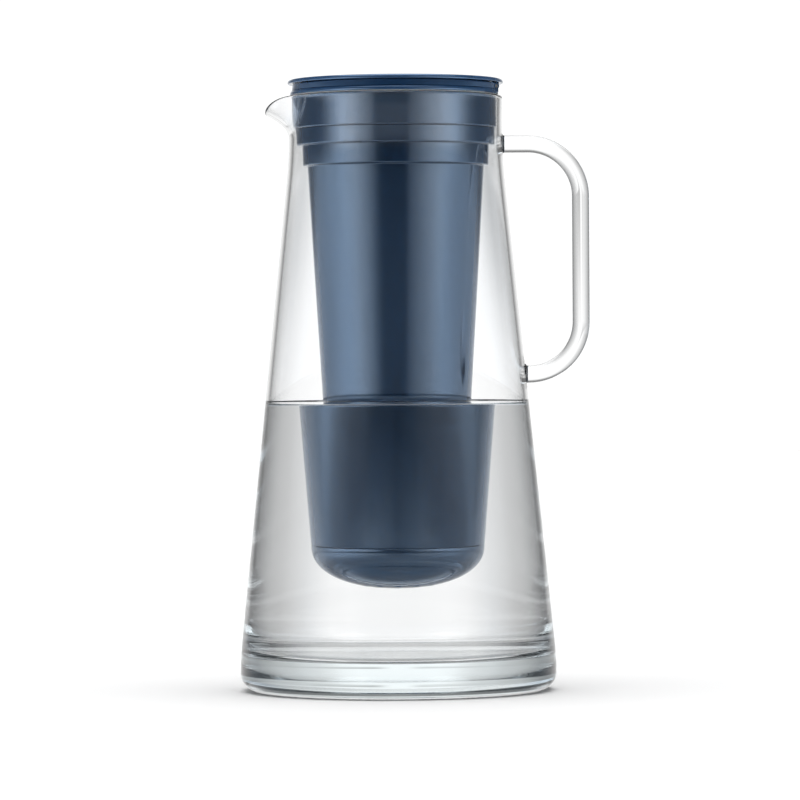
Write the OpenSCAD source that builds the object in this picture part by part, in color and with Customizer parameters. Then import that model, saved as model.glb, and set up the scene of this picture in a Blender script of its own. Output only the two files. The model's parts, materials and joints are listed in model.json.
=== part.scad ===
// Glass water filter pitcher with a flip lid.
// Z is up, the jug's axis is the Z axis and the table is z = 0.
// The spout points to -X and the handle to +X.

/* [Jug] */
// Height of the glass rim above the table
rim_z = 265.5; // [258:0.5:275]
// Outer radius of the neck at its narrowest
waist_r = 47.6; // [46.5:0.1:50]
// Depth of the narrowest part of the neck below the rim
waist_depth = 13; // [10:0.5:16]
// Radius of the arc that leads from the wall into the neck
neck_arc_r = 255; // [180:5:340]
// Lean of the straight wall from the vertical, in degrees
wall_taper = 5.87; // [4.5:0.05:7]
// Thickness of the glass wall
glass_t = 2; // [1.8:0.1:2.2]
// Thickness of the solid glass base
base_t = 15; // [8:0.5:18]
// Radius of the rounding where the wall meets the table
foot_r = 8; // [6:0.5:12]
// Radius of the arc that turns the wall upright above that rounding
heel_r = 130; // [80:5:180]
// Radius of the rounding inside, round the edge of the floor
floor_round = 12; // [6:0.5:16]

/* [Spout] */
// How far the lip is drawn out beyond the neck
spout_reach = 10.2; // [8:0.2:12]
// Half of the spout's width, as an angle round the rim
spout_half_angle = 32; // [26:1:38]
// How far the tip of the lip dips below the rim
spout_dip = 6.1; // [4.5:0.1:8]
// Height of the spout, from its root in the neck to the rim
spout_h = 19.5; // [16:0.5:22]
// Shape of the spout's underside, from straight at 1 to hooked at 3
spout_curl = 2.2; // [1.6:0.1:2.6]
// How pointed the lip is in plan, from broad at 2 to narrow at 4
spout_point = 2.8; // [2:0.1:4]

/* [Handle] */
// Radius of the glass rod
rod_r = 3.85; // [3:0.05:5]
// Depth of the upper arm's centre line below the rim
handle_top_depth = 21.5; // [20:0.5:30]
// Height from the lower arm to the upper arm, centre to centre
handle_span = 103; // [90:1:110]
// Distance from the jug's axis to the upright part of the rod
handle_reach = 82.6; // [78:0.2:92]
// Radius of the two bends, on the centre line
handle_bend_r = 23.5; // [16:0.2:26]
// Radius of the flare where the rod is fused to the wall
weld_r = 6.4; // [5.2:0.1:7]
// Length of that flare
weld_len = 4; // [2.5:0.1:6]

/* [Lid ring] */
// Thickness of the soft gasket between the rim and the flange
gasket_t = 0.5; // [0.4:0.1:1]
// Radius of the flange that sits on the rim
flange_r = 47.1; // [46.8:0.1:47.6]
// Thickness of the flange
flange_t = 2.1; // [1.8:0.1:2.6]
// Outer radius of the low wall on the flange
collar_r = 46.4; // [46.2:0.1:46.6]
// Height of that wall
collar_h = 2.6; // [2.4:0.1:3]
// Radial clearance between the skirt and the neck
skirt_gap = 0.6; // [0.4:0.05:0.8]
// Thickness of the skirt
skirt_t = 2.6; // [2.2:0.1:2.8]
// Depth of the skirt below the rim
skirt_depth = 14.6; // [13:0.1:16]
// Half of the hinge relief in the flange, as an angle
relief_half_angle = 33; // [24:1:38]

/* [Flip lid] */
// Radius of the lid
lid_r = 48.2; // [47.6:0.1:48.8]
// Thickness of the lid
lid_t = 1.8; // [1.6:0.1:2.4]
// Rounding of the lid's upper edge
lid_edge_r = 0.8; // [0.3:0.1:1.2]
// Depth of the plug below the lid
plug_h = 6.2; // [5:0.1:7]
// Thickness of the plug's wall
plug_t = 1.8; // [1.6:0.1:2.2]
// Radial clearance between the plug and the ring
plug_gap = 1; // [0.9:0.05:1.3]
// Number of stiffening ribs under the lid
lid_ribs = 8; // [4:1:12]
// Height of those ribs
lid_rib_h = 1.6; // [1:0.1:2]

/* [Lid hinge] */
// Distance from the jug's axis to the hinge pin
hinge_x = 44.9; // [44.7:0.1:45.1]
// Radius of the hinge pin
pin_r = 0.75; // [0.6:0.05:0.8]
// Outer radius of the knuckles
knuckle_r = 1.4; // [1.3:0.05:1.45]
// Half of the length of the lid's knuckle
knuckle_half = 7.6; // [5:0.1:8]
// Width of each ear on the ring
ear_w = 3.2; // [2.5:0.1:3.4]

/* [Hopper] */
// Wall thickness of the hopper
hopper_t = 2; // [1.6:0.1:2.4]
// Radius of the rim band under the skirt
band_r = 44.4; // [43.6:0.1:44.6]
// Height of the rim band
band_h = 7.5; // [6:0.1:9]
// How much the rim band draws in towards its lower edge
band_draft = 0.5; // [0.2:0.1:0.8]
// Radius of the shoulder under the rim band
shoulder_r = 41.8; // [41.2:0.1:42.4]
// Height of the shoulder
shoulder_h = 9; // [7:0.1:12]
// Height of the upstand inside the lid ring
upstand_h = 11.3; // [9:0.1:11.6]
// Radius of the body at its upper end
body_top_r = 39.4; // [38.6:0.1:40]
// Radius of the body at its lower end
body_bottom_r = 29.2; // [28.6:0.1:30.4]
// Length of the straight tapered body
body_len = 168; // [150:1:172]
// Height of the hopper's floor above the lower end of the body
floor_up = 33.5; // [32:0.5:40]
// Thickness of the hopper's floor
floor_t = 2.4; // [2:0.1:3]

/* [Filter cup] */
// Height of the rounded cup below the body
cup_h = 18.9; // [17:0.1:21]
// Fullness of the cup's outline, where 2 is an ellipse
cup_fullness = 2.25; // [2:0.05:2.6]
// Height of the neck that enters the body
cup_neck_h = 12; // [11:0.1:14]
// Wall thickness of that neck
cup_neck_t = 1.8; // [1.5:0.1:2]
// Radius of the outlet holes under the cup
outlet_r = 1.2; // [0.8:0.1:1.5]

/* [Membrane cartridge] */
// Radius of the cartridge
cartridge_r = 17; // [15:0.5:19]
// Height of the slotted case
case_h = 44; // [36:1:54]
// Wall thickness of the cartridge
case_t = 1.5; // [1.2:0.1:2]
// Number of inlet windows
window_count = 8; // [5:1:10]
// Width of an inlet window
window_w = 6; // [4:0.5:7]
// Radius of the outlet spigot
spigot_r = 9.6; // [8:0.1:11]
// Radius of the outlet's bore
outlet_bore_r = 4; // [3:0.1:5]
// Radius of one hollow fibre
fibre_r = 0.8; // [0.6:0.1:0.9]
// Distance between neighbouring fibres
fibre_pitch = 3; // [2.4:0.1:4]

/* [Carbon pod] */
// Gap between the pod's basket and the cup's neck round it
basket_gap = 2.1; // [1.9:0.1:4]
// Height of the basket
basket_h = 37.8; // [32:0.1:40]
// How far the basket stands above the cup's neck
basket_rise = 16.5; // [15:0.1:17]
// Wall thickness of the basket
basket_t = 1.4; // [1.2:0.1:1.8]
// Thickness of each felt pad
pad_t = 1.2; // [0.8:0.1:2]
// Radius of the holes in the basket and its lid
sieve_r = 0.9; // [0.6:0.1:1.1]

/* [Fits] */
// Gap between pieces that rest on each other and come apart
seat_gap = 0.1; // [0.05:0.05:0.2]
// Gap round a piece that slides or turns in another
slide_gap = 0.4; // [0.3:0.05:0.5]
// Radial clearance round the hinge pin
pin_gap = 0.05; // [0.03:0.01:0.08]
// Gap between a piece and what is packed inside it
pack_gap = 0.1; // [0.05:0.05:0.2]
// Section radius of the soft rings
seal_r = 0.5; // [0.4:0.05:0.55]
// How far a soft ring stands out of its groove
seal_proud = 0.1; // [0.05:0.05:0.15]

/* [Hidden] */
$fn = 120;

// A cut reaches this far past the faces that it opens
past = 1;
// A piece that is joined to another reaches this far into it
bond = 0.4;

// Jug: the wall is a cone that an arc leads into the neck
waist_z = rim_z - waist_depth;
neck_z = waist_z - neck_arc_r * sin(wall_taper);
neck_r = waist_r + neck_arc_r * (1 - cos(wall_taper));
lip_r = glass_t / 2;
heel_z = foot_r + heel_r * sin(wall_taper);
heel_x = neck_r + (neck_z - heel_z) * tan(wall_taper) - heel_r * cos(wall_taper);
foot_x = heel_x + heel_r - foot_r;
floor_x = neck_r + (neck_z - base_t - floor_round) * tan(wall_taper)
    - (glass_t + floor_round) / cos(wall_taper);
waist_inner_r = waist_r - glass_t;

// Spout
spout_z = rim_z - spout_h;
spout_side = spout_half_angle + 1.5;
spout_shy = 0.3;
spout_lap_h = 0.6;
spout_lap_angle = 0.6;
spout_columns = 24;
spout_rows = 10;

// Handle
handle_top_z = rim_z - handle_top_depth;
handle_bottom_z = handle_top_z - handle_span;
weld_depth = glass_t * 0.6;

// Lid ring
gasket_z = rim_z + seat_gap;
flange_z = gasket_z + gasket_t;
collar_z = flange_z + flange_t;
collar_top_z = collar_z + collar_h;
skirt_z = rim_z - skirt_depth;
skirt_r = waist_inner_r - skirt_gap;
ring_bore_r = skirt_r - skirt_t;
lead_in = 0.6;

// Flip lid
lid_gap = 0.3;
lid_z = collar_top_z + lid_gap;
lid_top_z = lid_z + lid_t;
plug_r = ring_bore_r - plug_gap;
plug_z = lid_z - plug_h;
lid_seal_z = lid_z - 1.9;
lid_seal_proud = plug_gap - lid_gap;

// Hinge
hinge_z = lid_z - knuckle_r - lid_gap;
ear_start = knuckle_half + slide_gap;
pocket_half = ear_start + ear_w + 0.2;
pocket_x = hinge_x - knuckle_r - 0.1;
pocket_z = flange_z + flange_t / 2;
relief_x = hinge_x + 1;
relief_r = collar_r + 0.1;

// Hopper
hopper_top_z = band_top_z() + upstand_h;
band_z = band_top_z() - band_h;
shoulder_z = band_z - shoulder_h;
neck_fillet_h = 2.7;
body_top_z = shoulder_z - neck_fillet_h;
joint_z = body_top_z - body_len;
body_slope = (body_top_r - body_bottom_r) / body_len;
upstand_r = ring_bore_r - slide_gap;
upstand_inner_r = upstand_r - hopper_t + 0.2;
shoulder_draft = 0.6;
floor_z = joint_z + floor_up;
floor_top_z = floor_z + floor_t;
lower_bore_r = body_bottom_r - hopper_t + 0.1;
hopper_seal_z = band_top_z() + upstand_h * 0.55;

// Filter cup
cup_z = joint_z - seat_gap;
cup_neck_r = lower_bore_r - slide_gap;
cup_bore_r = cup_neck_r - cup_neck_t;
cup_neck_z = cup_z + cup_neck_h;
cup_seal_z = cup_z + 1.8;
lug_count = 3;
lug_h = 2;
lug_angle = 12;
turn_angle = 30;
cup_lug_z = cup_seal_z + seal_r + 2;
outlet_rings = [[7, 8], [13, 12]];

// Membrane cartridge
socket_r = spigot_r + slide_gap;
socket_t = 2.2;
socket_top_z = floor_top_z + 6.6;
socket_drop = 3.5;
spigot_z = floor_z - socket_drop + 1;
spigot_lug_z = socket_top_z - 3;
spigot_seal_zs = [floor_z + 0.4, floor_z + 3.4];
cartridge_z = socket_top_z + 0.3;
base_cup_h = 5.7;
case_z = cartridge_z + base_cup_h;
case_top_z = case_z + case_h;
case_inner_r = cartridge_r - case_t;
potting_z = cartridge_z + case_t + 2.2;
potting_h = 4;
potting_r = case_inner_r - pack_gap;
fibre_z = potting_z + potting_h;
fibre_reach = potting_r - fibre_r - 0.3;
fibre_leg_h = case_top_z - fibre_z - fibre_reach - 2;
grip_h = 5;
grip_w = 3;

// Carbon pod
basket_r = cup_bore_r - basket_gap;
basket_z = cup_neck_z + basket_rise - basket_h;
basket_flange_z = cup_neck_z;
basket_flange_r = cup_neck_r - 0.3;
basket_top_z = basket_z + basket_h;
basket_inner_r = basket_r - basket_t;
pod_lid_t = 1.5;
pod_lid_z = basket_top_z - pod_lid_t - 0.8;
top_pad_z = pod_lid_z - pack_gap - pad_t;
bottom_pad_z = basket_z + basket_t + pack_gap;
media_z = bottom_pad_z + pad_t + pack_gap;
media_top_z = top_pad_z - pack_gap;
sieve_pitch = 5;

// Upper face of the hopper's rim band, where the ring's skirt ends
function band_top_z() = skirt_z - seat_gap;

// Points on an arc, from angle a to angle b
function arc(cx, cz, r, a, b, steps = 12) =
    [for (i = [0:steps]) [cx + r * cos(a + (b - a) * i / steps), cz + r * sin(a + (b - a) * i / steps)]];

// Outer radius of the neck at height z, above the straight wall
function neck_at(z) = waist_r + neck_arc_r - sqrt(pow(neck_arc_r, 2) - pow(z - waist_z, 2));

// Outer radius of the jug at height z, on the wall or the neck
function jug_at(z) = z > neck_z ? neck_at(z) : neck_r + (neck_z - z) * tan(wall_taper);

// Radius of the hopper's straight body at height z
function body_at(z) = body_bottom_r + (z - joint_z) * body_slope;

// Share of the cup's radius left at a share d of its depth
function cup_share(d) = pow(1 - pow(min(d, 1), cup_fullness), 1 / cup_fullness);

// One side of a full rounded cup, from its edge at height z down to its axis
function cup_curve(r, z, h, from = 0, steps = 24) =
    [for (i = [0:steps]) let (a = from + (90 - from) * i / steps, d = sin(a))
        [r * cup_share(d), z - h * d]];

// The closed outline of the jug's wall and base, turned about the axis
function jug_outline() = concat(
    [[0, 0], [foot_x, 0]],
    arc(foot_x, foot_r, foot_r, -80, -6, 12),
    arc(heel_x, foot_r, heel_r, 0, wall_taper, 8),
    [for (i = [0:8]) let (z = neck_z + (rim_z - lip_r - neck_z) * i / 8) [neck_at(z), z]],
    arc(neck_at(rim_z - lip_r) - lip_r, rim_z - lip_r, lip_r, 15, 165, 10),
    [for (i = [8:-1:0]) let (z = neck_z + (rim_z - lip_r - neck_z) * i / 8) [neck_at(z) - glass_t, z]],
    arc(floor_x, base_t + floor_round, floor_round, wall_taper, -80, 14),
    [[floor_x, base_t], [0, base_t]]
);

// How far the spout is formed at an angle from its middle, from 0 to 1
function spout_form(a) = abs(a) >= spout_half_angle ? 0 : pow(cos(90 * a / spout_half_angle), spout_point);

// Height at that angle of the lip's lower edge, which leans further out as the spout forms
function spout_rim(a) =
    let (lean = 90 * spout_form(a))
    rim_z - lip_r - spout_dip * (1 - cos(lean)) - lip_r * pow(sin(lean), 0.8);

// A point on the outer face of the spout, as radius and height
function spout_at(a, t) =
    let (z = spout_z + t * (spout_rim(a) - spout_z))
    [neck_at(z) + spout_reach * sin(90 * spout_form(a)) * pow(t, spout_curl), z];

// The direction into the glass at that point
function spout_inward(a, t) =
    let (d = spout_at(a, min(t + 0.01, 1)) - spout_at(a, max(t - 0.01, 0)))
    [-d[1], d[0]] / norm(d);

// The wall's section at one angle: up the outside, over the lip, down the inside
function spout_section(a, shy) =
    let (
        up = spout_inward(a, 1),
        over = [up[1], -up[0]],
        middle = spout_at(a, 1) + up * lip_r,
        side = [for (t = [0:spout_rows]) t / spout_rows]
    )
    concat(
        [spout_at(a, 0) + [-spout_shy, -bond]],
        [for (t = side) spout_at(a, t) + spout_inward(a, t) * (t == 0 ? spout_shy : shy)],
        [for (b = [-60:30:60]) middle + (over * cos(b) + up * sin(b)) * (lip_r - shy)],
        [for (i = [spout_rows:-1:0]) let (t = side[i])
            spout_at(a, t) + spout_inward(a, t) * (glass_t - (t == 0 ? spout_shy : shy))],
        [spout_at(a, 0) + [spout_shy - glass_t, -bond]]
    );

// A closed skin over a row of closed sections with the same number of points
module skin(sections) {
    n = len(sections[0]);
    last = len(sections) - 1;
    points = [for (s = sections) each s];
    sides = [for (i = [0:last - 1], j = [0:n - 1]) let (k = (j + 1) % n)
        each [[i * n + j, (i + 1) * n + k, (i + 1) * n + j], [i * n + j, i * n + k, (i + 1) * n + k]]];
    start = [for (j = [n - 1:-1:0]) j];
    end = [for (j = [0:n - 1]) last * n + j];
    polyhedron(points, concat(sides, [start, end]));
}

// The drawn-out lip, as a patch that replaces a sector of the neck
module spout() {
    angles = concat(
        [-spout_side],
        [for (i = [0:spout_columns]) -spout_half_angle + 2 * spout_half_angle * i / spout_columns],
        [spout_side]
    );
    skin([for (a = angles)
        [for (p = spout_section(a, abs(a) >= spout_half_angle ? spout_shy : 0))
            [-p[0] * cos(a), -p[0] * sin(a), p[1]]]]);
}

// A sector of a ring about the axis, centred on the direction +X
module sector(r_in, r_out, z, h, half_angle) {
    rotate([0, 0, -half_angle])
        rotate_extrude(angle = 2 * half_angle)
            translate([r_in, z]) square([r_out - r_in, h]);
}

// A plain ring about the axis
module ring(r_in, r_out, z, h) {
    translate([0, 0, z]) difference() {
        cylinder(r = r_out, h = h);
        translate([0, 0, -past]) cylinder(r = r_in, h = h + 2 * past);
    }
}

// A soft ring that lies in such a groove
module o_ring(r_face, z, proud = seal_proud) {
    translate([0, 0, z]) rotate_extrude()
        translate([seal_middle(r_face, proud), 0]) circle(r = seal_r, $fn = 32);
}

// Radius of the middle of a soft ring that lies in a groove in a round face
function seal_middle(r_face, proud) = r_face + proud - seal_r;

// The groove that a soft ring lies in
module seal_groove(r_face, z, proud = seal_proud) {
    ring(seal_middle(r_face, proud) - seal_r - pack_gap, r_face + past,
        z - seal_r - pack_gap, 2 * (seal_r + pack_gap));
}

// Evenly spaced copies round the axis
module around(count, start = 0) {
    for (i = [0:count - 1]) rotate([0, 0, start + i * 360 / count]) children();
}

// Bayonet lugs, standing out of or into a round wall
module lugs(r_in, r_out, z) {
    around(lug_count) sector(r_in, r_out, z, lug_h, lug_angle / 2);
}

// The L-shaped slots that the lugs turn in, open at the top
module lug_slots(r_in, r_out, z, top_z, way) {
    turning_margin = 1.5;
    entry_margin = 0.9;
    around(lug_count) {
        rotate([0, 0, way * turn_angle / 2])
            sector(r_in, r_out, z - 0.2, lug_h + 0.4, turn_angle / 2 + lug_angle / 2 + turning_margin);
        rotate([0, 0, way * turn_angle])
            sector(r_in, r_out, z + lug_h / 2, top_z - z - lug_h / 2 + past, lug_angle / 2 + entry_margin);
    }
}

// A field of small holes on a triangular grid
module sieve(r_field, z, h) {
    n = ceil(r_field / sieve_pitch);
    for (i = [-n:n], j = [-n:n]) {
        x = (i + j / 2) * sieve_pitch;
        y = j * sieve_pitch * sin(60);
        if (norm([x, y]) < r_field)
            translate([x, y, z - past]) cylinder(r = sieve_r, h = h + 2 * past, $fn = 16);
    }
}

// Jug with a heavy base, a tapered wall, a waisted neck and a drawn lip
module glass_jug() {
    color([0.85, 0.93, 0.95, 0.35]) union() {
        difference() {
            rotate_extrude() polygon(jug_outline());
            rotate([0, 0, 180])
                sector(waist_inner_r - 3, lid_r + 3, spout_z + spout_lap_h, spout_h + past,
                    spout_half_angle - spout_lap_angle);
        }
        spout();
    }
}

// One arm of the handle, from its bend back to the wall, with its flare
module handle_arm(z) {
    bend_x = handle_reach - handle_bend_r;
    arm = bend_x - jug_at(z);
    translate([bend_x, 0, z]) rotate([0, -90, 0]) rotate_extrude($fn = 48) polygon(concat(
        [[0, 0], [rod_r, 0]],
        [for (i = [0:8]) let (a = 90 * i / 8)
            [weld_r - (weld_r - rod_r) * cos(a), arm - weld_len * (1 - sin(a))]],
        [[weld_r, arm + weld_depth], [0, arm + weld_depth]]
    ));
}

// The upper bend of the handle, about the origin
module handle_bend() {
    rotate([90, 0, 0]) rotate_extrude(angle = 90) translate([handle_bend_r, 0]) circle(r = rod_r, $fn = 48);
}

// Handle bent from one glass rod and fused to the wall at both ends
module glass_handle() {
    bend_x = handle_reach - handle_bend_r;
    color([0.85, 0.93, 0.95, 0.35]) union() {
        handle_arm(handle_top_z);
        handle_arm(handle_bottom_z);
        translate([handle_reach, 0, handle_bottom_z + handle_bend_r])
            cylinder(r = rod_r, h = handle_span - 2 * handle_bend_r, $fn = 48);
        translate([bend_x, 0, handle_top_z - handle_bend_r]) handle_bend();
        translate([bend_x, 0, handle_bottom_z + handle_bend_r]) mirror([0, 0, 1]) handle_bend();
    }
}

// Ring that hangs in the neck, carries the hinge and frames the fill opening
module lid_ring() {
    color([0.33, 0.40, 0.50]) difference() {
        union() {
            difference() {
                rotate_extrude() polygon([
                    [ring_bore_r, skirt_z], [skirt_r - 0.3, skirt_z], [skirt_r, skirt_z + 0.5],
                    [skirt_r, flange_z], [flange_r, flange_z],
                    [flange_r, collar_z - 0.3], [flange_r - 0.3, collar_z], [collar_r, collar_z],
                    [collar_r, collar_top_z],
                    [ring_bore_r + lead_in, collar_top_z], [ring_bore_r, collar_top_z - lead_in]
                ]);
                sector(relief_r, flange_r + past, flange_z - past, flange_t + 2 * past, relief_half_angle);
                translate([pocket_x, -pocket_half, pocket_z])
                    cube([lid_r, 2 * pocket_half, lid_t + lid_top_z - pocket_z]);
                translate([relief_x, -pocket_half, flange_z - past])
                    cube([lid_r, 2 * pocket_half, flange_t + 2 * past]);
            }
            for (side = [-1, 1]) translate([0, side * (ear_start + ear_w / 2), 0]) {
                translate([hinge_x, 0, hinge_z]) rotate([90, 0, 0])
                    cylinder(r = knuckle_r, h = ear_w, center = true, $fn = 48);
                translate([pocket_x - bond, -ear_w / 2, pocket_z - bond])
                    cube([relief_x - pocket_x + bond, ear_w, hinge_z - pocket_z + bond]);
            }
        }
        translate([hinge_x, 0, hinge_z]) rotate([90, 0, 0])
            cylinder(r = pin_r + pin_gap, h = 2 * pocket_half + 2 * past, center = true, $fn = 32);
    }
}

// Soft gasket under the flange, cut away with it at the hinge
module neck_gasket() {
    color([0.75, 0.78, 0.82]) difference() {
        ring(skirt_r + pack_gap, flange_r - 0.2, gasket_z, gasket_t);
        translate([relief_x - 0.2, -pocket_half, gasket_z - past])
            cube([lid_r, 2 * pocket_half, gasket_t + 2 * past]);
        sector(collar_r - 0.2, flange_r + past, gasket_z - past, gasket_t + 2 * past, relief_half_angle);
    }
}

// Steel pin through the two ears and the lid's knuckle
module hinge_pin() {
    color("silver") translate([hinge_x, 0, hinge_z]) rotate([90, 0, 0])
        cylinder(r = pin_r, h = 2 * (ear_start + ear_w), center = true, $fn = 32);
}

// Round lid with a plug, stiffening ribs and a hinge knuckle
module flip_lid() {
    color([0.33, 0.40, 0.50]) difference() {
        union() {
            rotate_extrude() polygon(concat(
                [[0, lid_z], [plug_r - plug_t, lid_z], [plug_r - plug_t, plug_z],
                    [plug_r - 0.4, plug_z], [plug_r, plug_z + 0.6], [plug_r, lid_z], [lid_r - 0.3, lid_z],
                    [lid_r, lid_z + 0.3]],
                arc(lid_r - lid_edge_r, lid_top_z - lid_edge_r, lid_edge_r, 0, 90, 6),
                [[0, lid_top_z]]
            ));
            around(lid_ribs) translate([0, -0.6, lid_z - lid_rib_h])
                cube([plug_r - plug_t + bond, 1.2, lid_rib_h + bond]);
            ring(8, 9.4, lid_z - lid_rib_h, lid_rib_h + bond);
            translate([hinge_x, 0, hinge_z]) rotate([90, 0, 0])
                cylinder(r = knuckle_r, h = 2 * knuckle_half, center = true, $fn = 48);
            translate([hinge_x - knuckle_r + 0.1, -knuckle_half, hinge_z])
                cube([2 * knuckle_r - 0.2, 2 * knuckle_half, lid_z - hinge_z + bond]);
        }
        seal_groove(plug_r, lid_seal_z, lid_seal_proud);
        translate([hinge_x, 0, hinge_z]) rotate([90, 0, 0])
            cylinder(r = pin_r + pin_gap, h = 2 * knuckle_half + 2 * past, center = true, $fn = 32);
    }
}

// Soft ring round the lid's plug
module lid_seal() {
    color([0.75, 0.78, 0.82]) o_ring(plug_r, lid_seal_z, lid_seal_proud);
}

// The hopper's outer and inner faces as one closed outline
function hopper_outline() = concat(
    [[lower_bore_r, joint_z], [body_bottom_r, joint_z], [body_top_r, body_top_z]],
    [for (i = [1:6]) let (a = 90 * i / 6)
        [body_top_r + (shoulder_r - shoulder_draft - body_top_r) * (1 - cos(a)),
            body_top_z + neck_fillet_h * sin(a)]],
    [[shoulder_r, band_z - 0.6]],
    [[shoulder_r + 0.2, band_z], [band_r - band_draft, band_z + 0.4], [band_r, band_top_z() - 0.4],
        [band_r - 0.4, band_top_z()], [upstand_r, band_top_z()]],
    [[upstand_r, hopper_top_z - 0.6], [upstand_r - 0.6, hopper_top_z], [upstand_inner_r, hopper_top_z]],
    [[upstand_inner_r, band_z + 2], [shoulder_r - hopper_t, band_z - 1.5],
        [shoulder_r - shoulder_draft - hopper_t, shoulder_z], [body_top_r - hopper_t, body_top_z]],
    [[body_at(floor_z) - hopper_t, floor_z], [lower_bore_r, floor_z]]
);

// Hopper that holds the tap water: rim band, shoulder, tapered body and the ledge for its floor
module hopper() {
    color([0.33, 0.40, 0.50]) union() {
        difference() {
            rotate_extrude() polygon(hopper_outline());
            seal_groove(upstand_r, hopper_seal_z);
        }
        lugs(cup_neck_r - cup_neck_t + 0.4, lower_bore_r + bond, cup_lug_z);
    }
}

// Floor of the hopper, welded down onto its ledge, with the socket for the cartridge
module hopper_floor() {
    color([0.33, 0.40, 0.50]) difference() {
        union() {
            translate([0, 0, floor_z + seat_gap])
                cylinder(r = body_at(floor_z) - hopper_t - seat_gap, h = floor_t - seat_gap);
            translate([0, 0, floor_z - socket_drop])
                cylinder(r = socket_r + socket_t, h = socket_top_z - floor_z + socket_drop);
        }
        translate([0, 0, floor_z - socket_drop - past])
            cylinder(r = socket_r, h = socket_top_z - floor_z + socket_drop + 2 * past);
        lug_slots(socket_r - past, socket_r + socket_t + past, spigot_lug_z, socket_top_z, 1);
    }
}

// Soft ring between the hopper's upstand and the lid ring
module hopper_seal() {
    color([0.75, 0.78, 0.82]) o_ring(upstand_r, hopper_seal_z);
}

// Base of the membrane cartridge: spigot with lugs, and the cup above it
module membrane_base() {
    color([0.92, 0.93, 0.94]) difference() {
        union() {
            translate([0, 0, spigot_z]) cylinder(r = spigot_r, h = cartridge_z - spigot_z + bond);
            lugs(spigot_r - bond, socket_r + socket_t - 0.6, spigot_lug_z);
            rotate_extrude() polygon([
                [0, cartridge_z], [cartridge_r - 1, cartridge_z], [cartridge_r, cartridge_z + 1],
                [cartridge_r, case_z], [case_inner_r, case_z], [case_inner_r, potting_z],
                [case_inner_r - 1.5, potting_z], [outlet_bore_r + 1, cartridge_z + case_t], [0, cartridge_z + case_t]
            ]);
        }
        translate([0, 0, spigot_z - past])
            cylinder(r = outlet_bore_r, h = cartridge_z - spigot_z + case_t + 2 * past);
        for (z = spigot_seal_zs) seal_groove(spigot_r, z);
    }
}

// Slotted case round the fibres
module membrane_case() {
    color([0.92, 0.93, 0.94]) difference() {
        ring(case_inner_r, cartridge_r, case_z, case_h);
        around(window_count) for (level = [0, 1])
            translate([0, -window_w / 2, case_z + 4 + level * (case_h - 5) / 2])
                cube([cartridge_r + past, window_w, (case_h - 11) / 2]);
    }
}

// Cap of the cartridge, with a bar to turn it by
module membrane_cap() {
    color([0.92, 0.93, 0.94]) union() {
        rotate_extrude() polygon([
            [0, case_top_z + 2.4], [0, case_top_z + 1], [case_inner_r - 1.8, case_top_z],
            [case_inner_r - 1.8, case_top_z - 2], [case_inner_r - pack_gap, case_top_z - 2],
            [case_inner_r - pack_gap, case_top_z], [cartridge_r, case_top_z],
            [cartridge_r, case_top_z + 1], [cartridge_r - 1.4, case_top_z + 2.4]
        ]);
        translate([-cartridge_r + 3, -grip_w / 2, case_top_z + 1.8])
            cube([2 * cartridge_r - 6, grip_w, grip_h]);
    }
}

// Cast resin that holds the open ends of the fibres
module potting_disc() {
    color([0.95, 0.90, 0.75]) translate([0, 0, potting_z]) cylinder(r = potting_r, h = potting_h);
}

// Bundle of hollow fibres, each bent over into a loop
module fibre_bundle() {
    rows = floor(fibre_reach / fibre_pitch);
    color("white") for (i = [-rows:rows]) {
        y = i * fibre_pitch;
        half = sqrt(pow(fibre_reach, 2) - pow(y, 2));
        for (bend = [fibre_pitch * 2 / 3:fibre_pitch:half]) translate([0, y, fibre_z]) {
            for (side = [-1, 1]) translate([side * bend, 0, 0]) cylinder(r = fibre_r, h = fibre_leg_h, $fn = 16);
            translate([0, 0, fibre_leg_h]) rotate([90, 0, 0])
                rotate_extrude(angle = 180, $fn = 32) translate([bend, 0]) circle(r = fibre_r, $fn = 16);
        }
    }
}

// Two soft rings on the spigot
module spigot_seals() {
    color([0.25, 0.25, 0.27]) for (z = spigot_seal_zs) o_ring(spigot_r, z);
}

// Rounded cup that closes the body and holds the carbon pod
module filter_cup() {
    meet = asin(pow(1 - pow(cup_bore_r / (body_bottom_r - hopper_t), cup_fullness), 1 / cup_fullness));
    color([0.33, 0.40, 0.50]) difference() {
        rotate_extrude() polygon(concat(
            [[cup_bore_r, cup_neck_z], [cup_neck_r, cup_neck_z], [cup_neck_r, cup_z]],
            cup_curve(body_bottom_r, cup_z, cup_h),
            [for (i = [24:-1:0]) cup_curve(body_bottom_r - hopper_t, cup_z, cup_h - hopper_t, meet)[i]]
        ));
        lug_slots(cup_bore_r - past, cup_neck_r + past, cup_lug_z, cup_neck_z, -1);
        seal_groove(cup_neck_r, cup_seal_z);
        for (row = outlet_rings) around(row[1])
            translate([row[0], 0, cup_z - cup_h - past]) cylinder(r = outlet_r, h = cup_h, $fn = 24);
    }
}

// Soft ring between the cup's neck and the body
module cup_seal() {
    color([0.75, 0.78, 0.82]) o_ring(cup_neck_r, cup_seal_z);
}

// Perforated basket of the carbon pod, hung by its flange on the cup's neck
module pod_basket() {
    color([0.88, 0.90, 0.92]) difference() {
        union() {
            translate([0, 0, basket_z]) cylinder(r = basket_r, h = basket_h);
            translate([0, 0, basket_flange_z]) cylinder(r = basket_flange_r, h = 1.5);
        }
        translate([0, 0, basket_z + basket_t]) cylinder(r = basket_inner_r, h = basket_h);
        sieve(basket_inner_r - 2 * sieve_r, basket_z, basket_t);
    }
}

// Felt pad under the granules
module bottom_pad() {
    color("white") translate([0, 0, bottom_pad_z]) cylinder(r = basket_inner_r - pack_gap, h = pad_t);
}

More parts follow.
